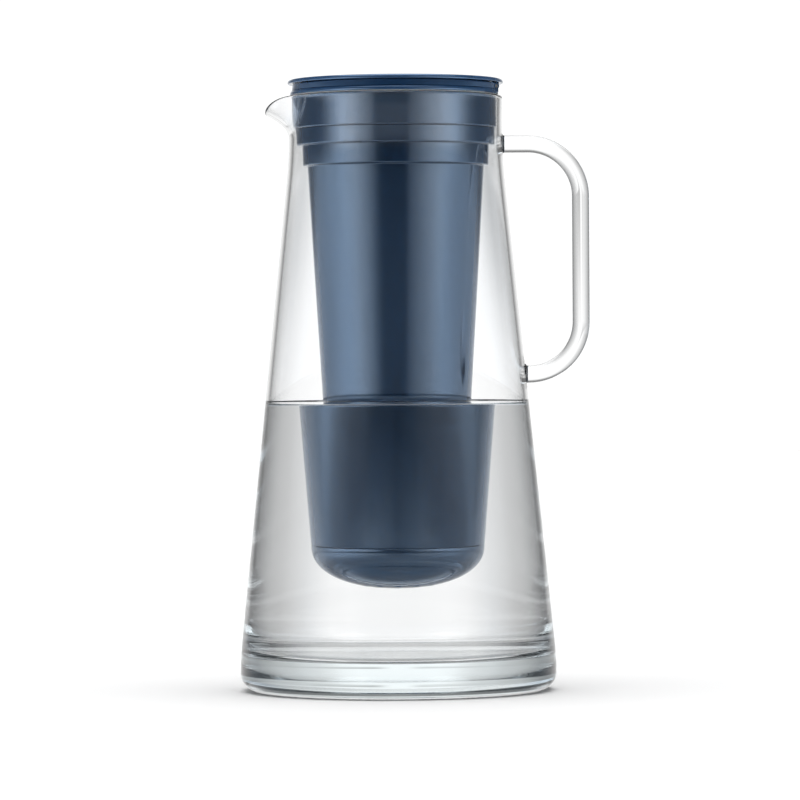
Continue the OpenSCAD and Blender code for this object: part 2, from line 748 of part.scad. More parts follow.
// Bed of activated carbon and ion exchange granules
module carbon_media() {
    color([0.12, 0.12, 0.13]) translate([0, 0, media_z])
        cylinder(r = basket_inner_r - pack_gap, h = media_top_z - media_z);
}

// Felt pad over the granules
module top_pad() {
    color("white") translate([0, 0, top_pad_z]) cylinder(r = basket_inner_r - pack_gap, h = pad_t);
}

// Perforated lid of the pod
module pod_lid() {
    color([0.88, 0.90, 0.92]) difference() {
        translate([0, 0, pod_lid_z]) cylinder(r = basket_inner_r - pack_gap, h = pod_lid_t);
        sieve(basket_inner_r - 2 * sieve_r, pod_lid_z, pod_lid_t);
    }
}

glass_jug();
glass_handle();
lid_ring();
neck_gasket();
hinge_pin();
flip_lid();
lid_seal();
hopper();
hopper_floor();
hopper_seal();
membrane_base();
membrane_case();
membrane_cap();
potting_disc();
fibre_bundle();
spigot_seals();
filter_cup();
cup_seal();
pod_basket();
bottom_pad();
carbon_media();
top_pad();
pod_lid();
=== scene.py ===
"""Looks of the glass filter pitcher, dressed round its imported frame.

Lengths are metres, and MM turns millimetres into metres. Z is up, the jug's axis is the
Z axis, the spout points to -X and the handle to +X. Outlines are lists of (radius, height),
with a third value where a corner is rounded off.
"""
import json
import math

import bmesh
import bpy
from mathutils import Matrix, Quaternion, Vector


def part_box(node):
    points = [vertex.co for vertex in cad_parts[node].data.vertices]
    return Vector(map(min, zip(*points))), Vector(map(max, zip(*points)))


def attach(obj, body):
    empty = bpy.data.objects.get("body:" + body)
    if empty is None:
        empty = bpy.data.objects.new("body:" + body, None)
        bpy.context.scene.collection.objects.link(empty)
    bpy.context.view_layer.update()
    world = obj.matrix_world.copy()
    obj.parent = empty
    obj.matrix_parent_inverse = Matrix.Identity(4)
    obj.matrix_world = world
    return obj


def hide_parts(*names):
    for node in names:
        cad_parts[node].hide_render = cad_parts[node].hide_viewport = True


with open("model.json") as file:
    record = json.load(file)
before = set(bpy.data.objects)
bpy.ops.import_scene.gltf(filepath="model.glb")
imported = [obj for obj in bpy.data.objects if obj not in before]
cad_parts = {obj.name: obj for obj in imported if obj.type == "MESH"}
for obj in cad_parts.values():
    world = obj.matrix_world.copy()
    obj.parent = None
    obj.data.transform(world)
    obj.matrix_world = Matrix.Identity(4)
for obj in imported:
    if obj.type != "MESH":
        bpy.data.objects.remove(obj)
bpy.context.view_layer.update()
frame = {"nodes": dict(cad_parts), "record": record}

MM = 0.001

# ---------------------------------------------------------------- sizes

TURN_STEPS = 192          # facets round a turned piece
EDGE_STEPS = 3            # facets across a rounded edge
JUG_STEPS = 300           # facets round the jug
SECTOR_FACET = 4.0        # degrees that one facet of a sector takes up
ROD_STEPS = 48            # facets round the handle and the hinge knuckle
BAR_STEPS = 32            # facets round the hinge's other bars
HOLE_STEPS = 24           # facets round an outlet hole
HUB_STEPS = 64            # facets round the hub under the lid
WALL_ROWS = 40            # rows of facets up the jug's straight wall
NECK_ROWS = 8             # and up its neck, as far as the spout
QUARTER = [math.radians(10 * i) for i in range(9)]   # angles of a small round, 0 to 80 degrees
SAME_POINT = 0.001 * MM   # doubles closer than this are one point
SHARP_ANGLE = math.radians(40)   # edges sharper than this stay crisp

SEAT_GAP = 0.1 * MM       # between pieces that rest on each other
SLIDE_GAP = 0.4 * MM      # between pieces that slide or turn in each other
EDGE_R = 0.3 * MM         # rounding of a moulded edge, where nothing else is given
BOND = 0.4 * MM           # how far a form reaches into the piece that it is joined to
PAST = 1 * MM             # how far a cut reaches past the piece
RIM_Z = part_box("neck_gasket")[0].z - SEAT_GAP

# Jug
WAIST_R = 47.6 * MM       # the narrowest place, a little under the rim
WAIST_Z = RIM_Z - 13 * MM
NECK_ARC_R = 255 * MM     # bow of the neck between the waist and the straight wall
WALL_TAPER = math.radians(5.87)
NECK_Z = WAIST_Z - NECK_ARC_R * math.sin(WALL_TAPER)
NECK_R = WAIST_R + NECK_ARC_R * (1 - math.cos(WALL_TAPER))
GLASS_T = 2 * MM
LIP_R = GLASS_T / 2
BASE_T = 15 * MM
FOOT_R = 8 * MM           # rounding between the base and the heel
HEEL_R = 130 * MM         # bow of the heel up to the straight wall
HEEL_Z = FOOT_R + HEEL_R * math.sin(WALL_TAPER)
HEEL_X = NECK_R + (NECK_Z - HEEL_Z) * math.tan(WALL_TAPER) - HEEL_R * math.cos(WALL_TAPER)
FOOT_X = HEEL_X + HEEL_R - FOOT_R
FLOOR_ROUND = 12 * MM     # rounding between the inner floor and the wall
PUNT_R = 56 * MM          # radius of the shallow hollow under the base
PUNT_H = 1 * MM

# Spout
SPOUT_REACH = 10.2 * MM
SPOUT_HALF = 32.0         # degrees
SPOUT_DIP = 6.1 * MM
SPOUT_Z = RIM_Z - 19.5 * MM   # where the neck begins to be drawn out
SPOUT_CURL = 2.2          # power of the way up: the higher, the later the spout leans out
SPOUT_POINT = 2.8         # power of the way round: the higher, the more pointed the spout
SPOUT_LIP = 0.8           # power by which the lip's own radius adds to the dip
SPOUT_ROWS = 28           # rows of facets up the spout
LIP_ROWS = 10             # rows of facets over the lip

# Handle
ROD_R = 3.85 * MM
HANDLE_TOP_Z = RIM_Z - 21.5 * MM
HANDLE_BOTTOM_Z = HANDLE_TOP_Z - 103 * MM
HANDLE_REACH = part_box("glass_handle")[1].x - ROD_R
BEND_R = 23.5 * MM
BEND_STEPS = 24
FLARE_R = 4.7 * MM        # the rod's radius at its two welds
FLARE_LEN = 1.1 * MM
WELD_DEPTH = 0.6 * GLASS_T

# Water
WATER_Z = 128 * MM
WATER_LAP = 0.12 * MM     # how far the water reaches into the glass, so that no air lies between
MENISCUS = 1.6 * MM       # how far the water climbs at the glass
MENISCUS_SPREAD = 1.2     # width of that rise over its height

# Lid ring
FLANGE_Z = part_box("neck_gasket")[1].z
FLANGE_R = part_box("lid_ring")[1].y
FLANGE_T = 2.1 * MM
FLANGE_ROUND = 1.4 * MM
COLLAR_R = 46.4 * MM
COLLAR_LEAN = 0.38 * MM
COLLAR_Z = FLANGE_Z + FLANGE_T
COLLAR_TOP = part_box("lid_ring")[1].z
COLLAR_ROUND = 0.25 * MM
SKIRT_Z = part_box("lid_ring")[0].z
SKIRT_R = WAIST_R - GLASS_T - 0.6 * MM
SKIRT_ROUND = 0.8 * MM
RING_BORE_R = SKIRT_R - 2.6 * MM
BORE_FOOT_ROUND = 0.2 * MM
BORE_TOP_ROUND = 0.6 * MM
RELIEF_HALF = 33.0        # degrees of the flange cut away at the spout, each way from its middle
RELIEF_R = COLLAR_R + 0.1 * MM

# Flip lid
LID_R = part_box("flip_lid")[1].y
LID_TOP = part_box("flip_lid")[1].z
LID_T = 1.8 * MM
LID_ROUND = 1.2 * MM
LID_Z = LID_TOP - LID_T
PLUG_R = RING_BORE_R - 1 * MM
PLUG_T = 1.8 * MM
PLUG_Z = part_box("flip_lid")[0].z
PLUG_ROUND = 0.5 * MM
PLUG_ROOT_ROUND = 0.4 * MM
LID_RIBS = 8
RIB_H = 1.6 * MM
RIB_HALF = 0.6 * MM
HUB_IN = 8 * MM
HUB_OUT = 9.4 * MM

# Hinge
HINGE_X = (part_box("hinge_pin")[0].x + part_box("hinge_pin")[1].x) / 2
HINGE_Z = (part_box("hinge_pin")[0].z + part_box("hinge_pin")[1].z) / 2
PIN_BORE_R = 0.8 * MM
KNUCKLE_R = 1.4 * MM
KNUCKLE_HALF = 7.6 * MM
WEB_INSET = 0.1 * MM      # how much narrower than the knuckle its web is, each side
EAR_W = 3.2 * MM
EAR_Y = KNUCKLE_HALF + SLIDE_GAP
POCKET_HALF = EAR_Y + EAR_W + 0.2 * MM
POCKET_X = HINGE_X - KNUCKLE_R - 0.1 * MM
POCKET_Z = FLANGE_Z + FLANGE_T / 2
RELIEF_X = HINGE_X + 1 * MM

# Hopper
HOPPER_T = 2 * MM
BAND_TOP = SKIRT_Z - SEAT_GAP
BAND_TOP_ROUND = 0.15 * MM
BAND_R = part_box("hopper")[1].x
BAND_Z = BAND_TOP - 7.5 * MM
BAND_LEAN = 0.1 * MM
BAND_ROUND = 0.8 * MM
SHOULDER_R = 41.8 * MM
SHOULDER_Z = BAND_Z - 9 * MM
SHOULDER_LOW_R = SHOULDER_R - 0.25 * MM
SHOULDER_ROUND = 0.6 * MM
SHOULDER_STEP = 0.1 * MM  # height and rounding of the small step between shoulder and band
FILLET_R = 0.6 * MM       # hollow between the body and the shoulder
FILLET_X = 0.7 * MM       # how far out its middle lies from the body
HOPPER_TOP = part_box("hopper")[1].z
UPSTAND_R = RING_BORE_R - SLIDE_GAP
UPSTAND_IN = UPSTAND_R - HOPPER_T + 0.2 * MM
UPSTAND_ROUND = 0.6 * MM
BAND_IN_Z = BAND_Z + 2 * MM
SHOULDER_IN_Z = BAND_Z - 1.5 * MM
BODY_TOP_R = 39.4 * MM
BODY_BOTTOM_R = 29.2 * MM
BODY_TOP_Z = SHOULDER_Z - 2.7 * MM
JOINT_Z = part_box("hopper")[0].z
JOINT_ROUND = 0.35 * MM
FLOOR_Z = JOINT_Z + 33.5 * MM
FLOOR_T = 2.4 * MM
LOWER_BORE_R = BODY_BOTTOM_R - HOPPER_T + 0.1 * MM
SOCKET_R = 10 * MM
SOCKET_T = 2.2 * MM
SOCKET_TOP = FLOOR_Z + FLOOR_T + 6.6 * MM
SOCKET_Z = FLOOR_Z - 3.5 * MM

# Filter cup
CUP_Z = JOINT_Z - SEAT_GAP
CUP_H = CUP_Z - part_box("filter_cup")[0].z
CUP_FULLNESS = 2.25       # power of the cup's curve: 2 is an ellipse, more is fuller
CUP_NECK_R = LOWER_BORE_R - SLIDE_GAP
CUP_BORE_R = CUP_NECK_R - 1.8 * MM
CUP_NECK_Z = CUP_Z + 12 * MM
CUP_NECK_ROUND = 0.4 * MM
CUP_ROWS = 48
OUTLET_R = 1.2 * MM
OUTLET_ROWS = ((7 * MM, 8), (13 * MM, 12))   # radius of each ring of holes, and how many

# Seals and bayonets
SEAL_R = 0.5 * MM
SEAL_GAP = 0.1 * MM       # between a soft ring and the three sides of its groove
SEAL_PROUD = 0.1 * MM     # how far a soft ring stands out of its groove
LID_SEAL_PROUD = RING_BORE_R - PLUG_R - 0.3 * MM
GROOVE = SEAL_R + SEAL_GAP
GROOVE_ROUND = 0.08 * MM
HOPPER_SEAL_Z = BAND_TOP + 0.55 * (HOPPER_TOP - BAND_TOP)
LID_SEAL_Z = LID_Z - 1.9 * MM
CUP_SEAL_Z = CUP_Z + 1.8 * MM
LUG_COUNT = 3
LUG_H = 2 * MM
LUG_ANGLE = 12.0          # degrees that a lug takes up
TURN_ANGLE = 30.0         # degrees from locked to open
SLOT_GAP = 0.2 * MM       # under and over a lug in its slot
TURN_SPARE = 1.5          # degrees of play at the ends of a slot
ENTRY_SPARE = 0.9         # and at the sides of its way in
CUP_LUG_Z = CUP_SEAL_Z + SEAL_R + 2 * MM
SPIGOT_LUG_Z = SOCKET_TOP - 3 * MM


# ---------------------------------------------------------------- outlines

def arc(cx, cz, radius, start, end, steps=12):
    """Points on an arc between two angles in degrees."""
    angles = [math.radians(start + (end - start) * i / steps) for i in range(steps + 1)]
    return [(cx + radius * math.cos(a), cz + radius * math.sin(a)) for a in angles]


def stretch(start, end, steps):
    """Points on a straight stretch, without its two ends."""
    return [tuple(a + (b - a) * i / steps for a, b in zip(start, end)) for i in range(1, steps)]


def neck_at(z):
    """Outer radius of the neck, above the straight wall."""
    return WAIST_R + NECK_ARC_R - math.sqrt(NECK_ARC_R ** 2 - (z - WAIST_Z) ** 2)


def wall_at(z):
    """Outer radius of the jug, on its straight wall or its neck."""
    return neck_at(z) if z > NECK_Z else NECK_R + (NECK_Z - z) * math.tan(WALL_TAPER)


def spout_form(a):
    """How far the spout is formed at an angle in degrees from its middle, from 0 to 1."""
    return 0 if abs(a) >= SPOUT_HALF else math.cos(math.pi / 2 * a / SPOUT_HALF) ** SPOUT_POINT


def spout_rim(a):
    """Height of the lip's lower edge at that angle."""
    lean = math.pi / 2 * spout_form(a)
    dip = SPOUT_DIP * (1 - math.cos(lean))
    return RIM_Z - LIP_R - dip - LIP_R * math.sin(lean) ** SPOUT_LIP


def spout_at(a, t):
    """A point on the outer face of the neck at that angle, a share t of the way to the lip."""
    z = SPOUT_Z + t * (spout_rim(a) - SPOUT_Z)
    reach = SPOUT_REACH * math.sin(math.pi / 2 * spout_form(a))
    return Vector((neck_at(z) + reach * t ** SPOUT_CURL, z))


def spout_inward(a, t):
    """The direction into the glass at that point."""
    near = 0.01
    rise = spout_at(a, min(t + near, 1)) - spout_at(a, max(t - near, 0))
    return Vector((-rise.y, rise.x)).normalized()


def lip_outline(a):
    """The neck at an angle from the spout: up the outside, over the lip, down the inside."""
    inward = spout_inward(a, 1)
    over = Vector((inward.y, -inward.x))
    middle = spout_at(a, 1) + inward * LIP_R
    shares = [i / SPOUT_ROWS for i in range(SPOUT_ROWS + 1)]
    outside = [spout_at(a, t) for t in shares]
    turns = [math.pi * (i / LIP_ROWS - 0.5) for i in range(1, LIP_ROWS)]
    lip = [middle + (over * math.cos(b) + inward * math.sin(b)) * LIP_R for b in turns]
    inside = [spout_at(a, t) + spout_inward(a, t) * GLASS_T for t in reversed(shares)]
    return outside + lip + inside


def jug_foot():
    """The outline from the axis, under the base and up the wall to the neck."""
    punt = [(0, PUNT_H)] + stretch((0, PUNT_H), (PUNT_R, PUNT_H), steps=8)
    punt += [(PUNT_R + PUNT_H * math.sin(a), PUNT_H * math.cos(a))
             for a in [math.radians(15 * i) for i in range(7)]]
    foot = arc(FOOT_X, FOOT_R, FOOT_R, start=-90, end=-4, steps=16)
    heel = arc(HEEL_X, FOOT_R, HEEL_R, start=0, end=math.degrees(WALL_TAPER), steps=8)
    wall = stretch(heel[-1], (NECK_R, NECK_Z), WALL_ROWS)
    heights = [NECK_Z + (SPOUT_Z - NECK_Z) * i / NECK_ROWS for i in range(NECK_ROWS)]
    return punt + foot + heel + wall + [(neck_at(z), z) for z in heights]


def inner_outline(out=0.0, top=None):
    """The outline inside the jug, from its neck or from a height down to the axis, moved out."""
    run = math.tan(WALL_TAPER)
    shift = (GLASS_T - out) / math.cos(WALL_TAPER)
    z_low = BASE_T + FLOOR_ROUND
    floor_x = NECK_R + (NECK_Z - z_low) * run - (GLASS_T + FLOOR_ROUND) / math.cos(WALL_TAPER)
    if top is None:
        heights = [SPOUT_Z + (NECK_Z - SPOUT_Z) * i / NECK_ROWS for i in range(1, NECK_ROWS + 1)]
        start = [(neck_at(z) - GLASS_T, z) for z in heights]
    else:
        start = [(NECK_R + (NECK_Z - top) * run - shift, top)]
    corner = arc(floor_x, z_low, FLOOR_ROUND + out, math.degrees(WALL_TAPER), -90, steps=18)
    wall = stretch(start[-1], corner[0], WALL_ROWS)
    middle = (0, BASE_T - out)
    return start + wall + corner + stretch(corner[-1], middle, steps=6) + [middle]


# ---------------------------------------------------------------- mesh tools

def piece_from(bm, name):
    """A finished, smooth object at the origin from a bmesh."""
    bmesh.ops.remove_doubles(bm, verts=bm.verts, dist=SAME_POINT)
    bmesh.ops.recalc_face_normals(bm, faces=bm.faces)
    if bm.calc_volume(signed=True) < 0:
        bmesh.ops.reverse_faces(bm, faces=bm.faces)
    mesh = bpy.data.meshes.new(name)
    bm.to_mesh(mesh)
    bm.free()
    mesh.shade_smooth()
    piece = bpy.data.objects.new(name, mesh)
    bpy.context.scene.collection.objects.link(piece)
    return piece


def wire_outline(bm, outline, closed):
    """The outline as wire edges in the XZ plane, with its corners rounded off."""
    verts = [bm.verts.new((p[0], 0, p[1])) for p in outline]
    ends = verts[1:] + (verts[:1] if closed else [])
    for a, b in zip(verts, ends):
        bm.edges.new((a, b))
    for radius in sorted({p[2] for p in outline if len(p) > 2}):
        corners = [v for v, p in zip(verts, outline) if len(p) > 2 and p[2] == radius]
        bmesh.ops.bevel(bm, geom=corners, offset=radius, offset_type="OFFSET",
                        segments=EDGE_STEPS, profile=0.5, affect="VERTICES", material=-1)


def spin_all(bm, steps):
    """Spins everything in the bmesh once round the Z axis."""
    bmesh.ops.spin(bm, geom=bm.verts[:] + bm.edges[:], cent=(0, 0, 0), axis=(0, 0, 1),
                   dvec=(0, 0, 0), angle=2 * math.pi, steps=steps, use_merge=True,
                   use_duplicate=False)


def turned(name, outline, steps=TURN_STEPS):
    """A solid of revolution from an outline that is closed, or open with both ends on the axis."""
    bm = bmesh.new()
    wire_outline(bm, outline, closed=outline[0][0] > 0 or outline[-1][0] > 0)
    spin_all(bm, steps)
    return piece_from(bm, name)


def block(low, high):
    """A box-shaped tool between two corners."""
    bm = bmesh.new()
    bmesh.ops.create_cube(bm, size=1)
    low, high = Vector(low), Vector(high)
    bmesh.ops.scale(bm, verts=bm.verts, vec=high - low)
    bmesh.ops.translate(bm, verts=bm.verts, vec=(low + high) / 2)
    return piece_from(bm, "tool")


def round_bar(radius, length, centre, axis="Y", steps=BAR_STEPS):
    """A round tool along Y or Z, whose middle is at centre."""
    bm = bmesh.new()
    bmesh.ops.create_cone(bm, cap_ends=True, segments=steps, radius1=radius, radius2=radius,
                          depth=length)
    if axis == "Y":
        turn = Matrix.Rotation(math.pi / 2, 3, "X")
        bmesh.ops.rotate(bm, verts=bm.verts, cent=(0, 0, 0), matrix=turn)
    bmesh.ops.translate(bm, verts=bm.verts, vec=centre)
    return piece_from(bm, "tool")


def sector(r_in, r_out, z, height, middle, half):
    """A sector of a ring, centred on an angle in degrees, as a tool."""
    bm = bmesh.new()
    corners = [(r_in, z), (r_out, z), (r_out, z + height), (r_in, z + height)]
    face = bm.faces.new([bm.verts.new((r, 0, h)) for r, h in corners])
    turn = Matrix.Rotation(math.radians(middle - half), 3, "Z")
    bmesh.ops.rotate(bm, verts=bm.verts, cent=(0, 0, 0), matrix=turn)
    bmesh.ops.spin(bm, geom=[face], cent=(0, 0, 0), axis=(0, 0, 1), dvec=(0, 0, 0),
                   angle=math.radians(2 * half), steps=max(2, round(2 * half / SECTOR_FACET)),
                   use_merge=False, use_duplicate=False)
    return piece_from(bm, "tool")


def star(count, reach, half, low, high):
    """Upright bars of a half width that run out from the axis, as one tool."""
    step = 2 * math.pi / count
    nook = half / math.sin(step / 2)
    corners = []
    for i in range(count):
        turn = Matrix.Rotation(step * i, 3, "Z")
        corners += [turn @ Vector((reach, -half, low)), turn @ Vector((reach, half, low)),
                    turn @ Vector((nook * math.cos(step / 2), half, low))]
    bm = bmesh.new()
    face = bm.faces.new([bm.verts.new(corner) for corner in corners])
    made = bmesh.ops.extrude_face_region(bm, geom=[face])["geom"]
    top = [v for v in made if isinstance(v, bmesh.types.BMVert)]
    bmesh.ops.translate(bm, verts=top, vec=(0, 0, high - low))
    return piece_from(bm, "tool")


def combine(piece, tools, operation):
    """Joins tools to a piece or cuts them from it, and removes them."""
    for tool in tools:
        boolean = piece.modifiers.new("combine", "BOOLEAN")
        boolean.object = tool
        boolean.operation = operation
        boolean.solver = "EXACT"
    shown = piece.evaluated_get(bpy.context.evaluated_depsgraph_get())
    bm = bmesh.new()
    bm.from_mesh(shown.data)
    bmesh.ops.remove_doubles(bm, verts=bm.verts, dist=SAME_POINT)
    piece.modifiers.clear()
    bm.to_mesh(piece.data)
    bm.free()
    for tool in tools:
        bpy.data.objects.remove(tool)
    return piece


def crisp(piece):
    """Keeps sharp edges crisp, and lets broad faces lead the shading of the rest."""
    piece.data.shade_smooth()
    piece.data.set_sharp_from_angle(angle=SHARP_ANGLE)
    weighted = piece.modifiers.new("weighted", "WEIGHTED_NORMAL")
    weighted.keep_sharp = True
    shown = piece.evaluated_get(bpy.context.evaluated_depsgraph_get())
    mesh = bpy.data.meshes.new_from_object(shown)
    mesh.name = piece.name
    piece.modifiers.clear()
    piece.data = mesh
    return piece


# ---------------------------------------------------------------- pieces

def jug_shell():
    """The jug turned from its outline, with each column's lip drawn out as the spout forms."""
    outline = jug_foot() + lip_outline(SPOUT_HALF)
    first_lip_row = len(jug_foot())
    last_lip_row = len(outline)
    outline += inner_outline()
    bm = bmesh.new()
    row = bm.verts.layers.int.new("row")
    verts = [bm.verts.new((r, 0, z)) for r, z in outline]
    for i, v in enumerate(verts):
        v[row] = i
    for a, b in zip(verts, verts[1:]):
        bm.edges.new((a, b))
    spin_all(bm, JUG_STEPS)
    bmesh.ops.remove_doubles(bm, verts=bm.verts, dist=SAME_POINT)
    columns = {}
    for v in bm.verts:
        from_spout = round(math.degrees(math.atan2(v.co.y, -v.co.x)), 3)
        if not first_lip_row <= v[row] < last_lip_row or abs(from_spout) >= SPOUT_HALF:
            continue
        if from_spout not in columns:
            columns[from_spout] = lip_outline(from_spout)
        r, z = columns[from_spout][v[row] - first_lip_row]
        a = math.radians(from_spout)
        v.co = (-r * math.cos(a), r * math.sin(a), z)
    return piece_from(bm, "glass_pitcher")


def handle_rod():
    """The handle bent from one rod, flared at both ends where it is fused to the wall."""
    bend_x = HANDLE_REACH - BEND_R
    bm = bmesh.new()
    start_x = wall_at(HANDLE_TOP_Z) - WELD_DEPTH
    bmesh.ops.create_circle(bm, cap_ends=True, segments=ROD_STEPS, radius=FLARE_R)
    turn = Matrix.Rotation(math.pi / 2, 3, "Y")
    bmesh.ops.rotate(bm, verts=bm.verts, cent=(0, 0, 0), matrix=turn)
    bmesh.ops.translate(bm, verts=bm.verts, vec=(start_x, 0, HANDLE_TOP_Z))
    ring = bm.edges[:]

    def pull(edges, move, centre=None, scale=1.0):
        """Draws the rod's open end out along a straight way, and widens or narrows it."""
        made = bmesh.ops.extrude_edge_only(bm, edges=edges)["geom"]
        verts = [g for g in made if isinstance(g, bmesh.types.BMVert)]
        bmesh.ops.translate(bm, verts=verts, vec=move)
        if scale != 1.0:
            space = Matrix.Translation(-(Vector(centre) + Vector(move)))
            bmesh.ops.scale(bm, verts=verts, vec=(1, scale, scale), space=space)
        return [g for g in made if isinstance(g, bmesh.types.BMEdge)]

    def flare(z, outwards):
        """Places along the rod and its radius there, at the weld on a height."""
        wall = wall_at(z)
        stops = [(wall - WELD_DEPTH, FLARE_R), (wall, FLARE_R)] + [
            (wall + FLARE_LEN * (1 - math.sin(a)), FLARE_R - (FLARE_R - ROD_R) * math.cos(a))
            for a in reversed(QUARTER)]
        return stops if outwards else stops[::-1]

    def follow(edges, stops, z):
        """Draws the rod through the places of a flare."""
        for (x0, r0), (x1, r1) in zip(stops, stops[1:]):
            edges = pull(edges, (x1 - x0, 0, 0), (x0, 0, z), r1 / r0)
        return edges

    def bend(edges, z):
        """Bends the rod down by a quarter turn, about a middle at a height."""
        made = bmesh.ops.spin(bm, geom=edges, cent=(bend_x, 0, z), axis=(0, 1, 0),
                              dvec=(0, 0, 0), angle=math.pi / 2, steps=BEND_STEPS,
                              use_merge=False, use_duplicate=False)
        return [g for g in made["geom_last"] if isinstance(g, bmesh.types.BMEdge)]

    top = flare(HANDLE_TOP_Z, True)
    ring = follow(ring, top, HANDLE_TOP_Z)
    ring = pull(ring, (bend_x - top[-1][0], 0, 0))
    ring = bend(ring, HANDLE_TOP_Z - BEND_R)
    ring = pull(ring, (0, 0, -(HANDLE_TOP_Z - HANDLE_BOTTOM_Z - 2 * BEND_R)))
    ring = bend(ring, HANDLE_BOTTOM_Z + BEND_R)
    low = flare(HANDLE_BOTTOM_Z, False)
    ring = pull(ring, (low[0][0] - bend_x, 0, 0))
    ring = follow(ring, low, HANDLE_BOTTOM_Z)
    bmesh.ops.contextual_create(bm, geom=ring)
    return piece_from(bm, "tool")


def glass_pitcher():
    """Jug and handle as the one piece of glass that they are."""
    return combine(jug_shell(), [handle_rod()], "UNION")


def water():
    """The water in the jug, drawn up a little where it meets the wall."""
    side = inner_outline(WATER_LAP, WATER_Z + MENISCUS)
    edge_r = side[0][0] + math.tan(WALL_TAPER) * MENISCUS
    rise = [(edge_r - MENISCUS * (1 - math.sin(a)) * MENISCUS_SPREAD,
             WATER_Z + MENISCUS * (1 - math.cos(a))) for a in QUARTER]
    surface = stretch((0, WATER_Z), rise[0], steps=12)
    return turned("water", [(0, WATER_Z)] + surface + rise + side, JUG_STEPS)


def groove(r_face, z, proud=SEAL_PROUD):
    """Four corners of a soft ring's groove in an outer face, from top to bottom."""
    depth = r_face + proud - 2 * SEAL_R - SEAL_GAP
    return [(r_face, z + GROOVE, GROOVE_ROUND), (depth, z + GROOVE), (depth, z - GROOVE),
            (r_face, z - GROOVE, GROOVE_ROUND)]


def lid_ring():
    """The ring in the neck: skirt, flange, collar and the hinge's pocket and ears."""
    outline = [
        (RING_BORE_R, SKIRT_Z, BORE_FOOT_ROUND), (SKIRT_R, SKIRT_Z, SKIRT_ROUND),
        (SKIRT_R, FLANGE_Z), (FLANGE_R, FLANGE_Z, EDGE_R)]
    outline += arc(FLANGE_R - FLANGE_ROUND, COLLAR_Z - FLANGE_ROUND, FLANGE_ROUND, 0, 90, steps=8)
    outline += [
        (COLLAR_R, COLLAR_Z), (COLLAR_R - COLLAR_LEAN, COLLAR_TOP, COLLAR_ROUND),
        (RING_BORE_R, COLLAR_TOP, BORE_TOP_ROUND)]
    ring = turned("lid_ring_moulding", outline)
    cuts = [
        sector(RELIEF_R, FLANGE_R + PAST, FLANGE_Z - PAST, FLANGE_T + 2 * PAST, 0, RELIEF_HALF),
        block((POCKET_X, -POCKET_HALF, POCKET_Z), (LID_R, POCKET_HALF, LID_TOP)),
        block((RELIEF_X, -POCKET_HALF, FLANGE_Z - PAST), (LID_R, POCKET_HALF, LID_TOP))]
    combine(ring, cuts, "DIFFERENCE")
    for side in (-1, 1):
        middle = side * (EAR_Y + EAR_W / 2)
        ear = round_bar(KNUCKLE_R, EAR_W, (HINGE_X, middle, HINGE_Z))
        foot = block((POCKET_X - BOND, middle - EAR_W / 2, POCKET_Z - BOND),
                     (RELIEF_X, middle + EAR_W / 2, HINGE_Z))
        combine(ring, [ear, foot], "UNION")
    pin_hole = round_bar(PIN_BORE_R, 2 * POCKET_HALF + 2 * PAST, (HINGE_X, 0, HINGE_Z))
    return crisp(combine(ring, [pin_hole], "DIFFERENCE"))


def flip_lid():
    """The lid: a disc with a soft upper edge, a plug, ribs under it and the hinge knuckle."""
    plug_in = PLUG_R - PLUG_T
    outline = [
        (0, LID_Z), (plug_in, LID_Z, PLUG_ROOT_ROUND), (plug_in, PLUG_Z, EDGE_R),
        (PLUG_R, PLUG_Z, PLUG_ROUND)]
    outline += groove(PLUG_R, LID_SEAL_Z, LID_SEAL_PROUD)[::-1]
    outline += [(PLUG_R, LID_Z, EDGE_R), (LID_R, LID_Z, EDGE_R)]
    outline += arc(LID_R - LID_ROUND, LID_TOP - LID_ROUND, LID_ROUND, 0, 90, steps=8)
    lid = turned("flip_lid_moulding", outline + [(0, LID_TOP)])
    rib_low, rib_top = LID_Z - RIB_H, LID_Z + BOND
    ribs = star(LID_RIBS, plug_in + BOND, RIB_HALF, rib_low, rib_top)
    hub = turned("tool", [(HUB_IN, rib_low), (HUB_OUT, rib_low),
                          (HUB_OUT, rib_top), (HUB_IN, rib_top)], HUB_STEPS)
    knuckle = round_bar(KNUCKLE_R, 2 * KNUCKLE_HALF, (HINGE_X, 0, HINGE_Z), steps=ROD_STEPS)
    web = block((HINGE_X - KNUCKLE_R + WEB_INSET, -KNUCKLE_HALF, HINGE_Z),
                (HINGE_X + KNUCKLE_R - WEB_INSET, KNUCKLE_HALF, rib_top))
    combine(lid, [ribs, hub, knuckle, web], "UNION")
    pin_hole = round_bar(PIN_BORE_R, 2 * KNUCKLE_HALF + 2 * PAST, (HINGE_X, 0, HINGE_Z))
    return crisp(combine(lid, [pin_hole], "DIFFERENCE"))


def lug_slots(r_in, r_out, z, top, way):
    """Tools for the L-shaped slots of a bayonet, open at the top, that run one way or the other."""
    tools = []
    for i in range(LUG_COUNT):
        locked = 360 / LUG_COUNT * i
        tools.append(sector(r_in, r_out, z - SLOT_GAP, LUG_H + 2 * SLOT_GAP,
                            locked + way * TURN_ANGLE / 2,
                            TURN_ANGLE / 2 + LUG_ANGLE / 2 + TURN_SPARE))
        tools.append(sector(r_in, r_out, z + LUG_H / 2, top - z, locked + way * TURN_ANGLE,
                            LUG_ANGLE / 2 + ENTRY_SPARE))
    return tools


def body_bore_at(z):
    """Radius inside the hopper's tapered body at a height."""
    body_run = (BODY_TOP_R - BODY_BOTTOM_R) / (BODY_TOP_Z - JOINT_Z)
    return BODY_BOTTOM_R + (z - JOINT_Z) * body_run - HOPPER_T


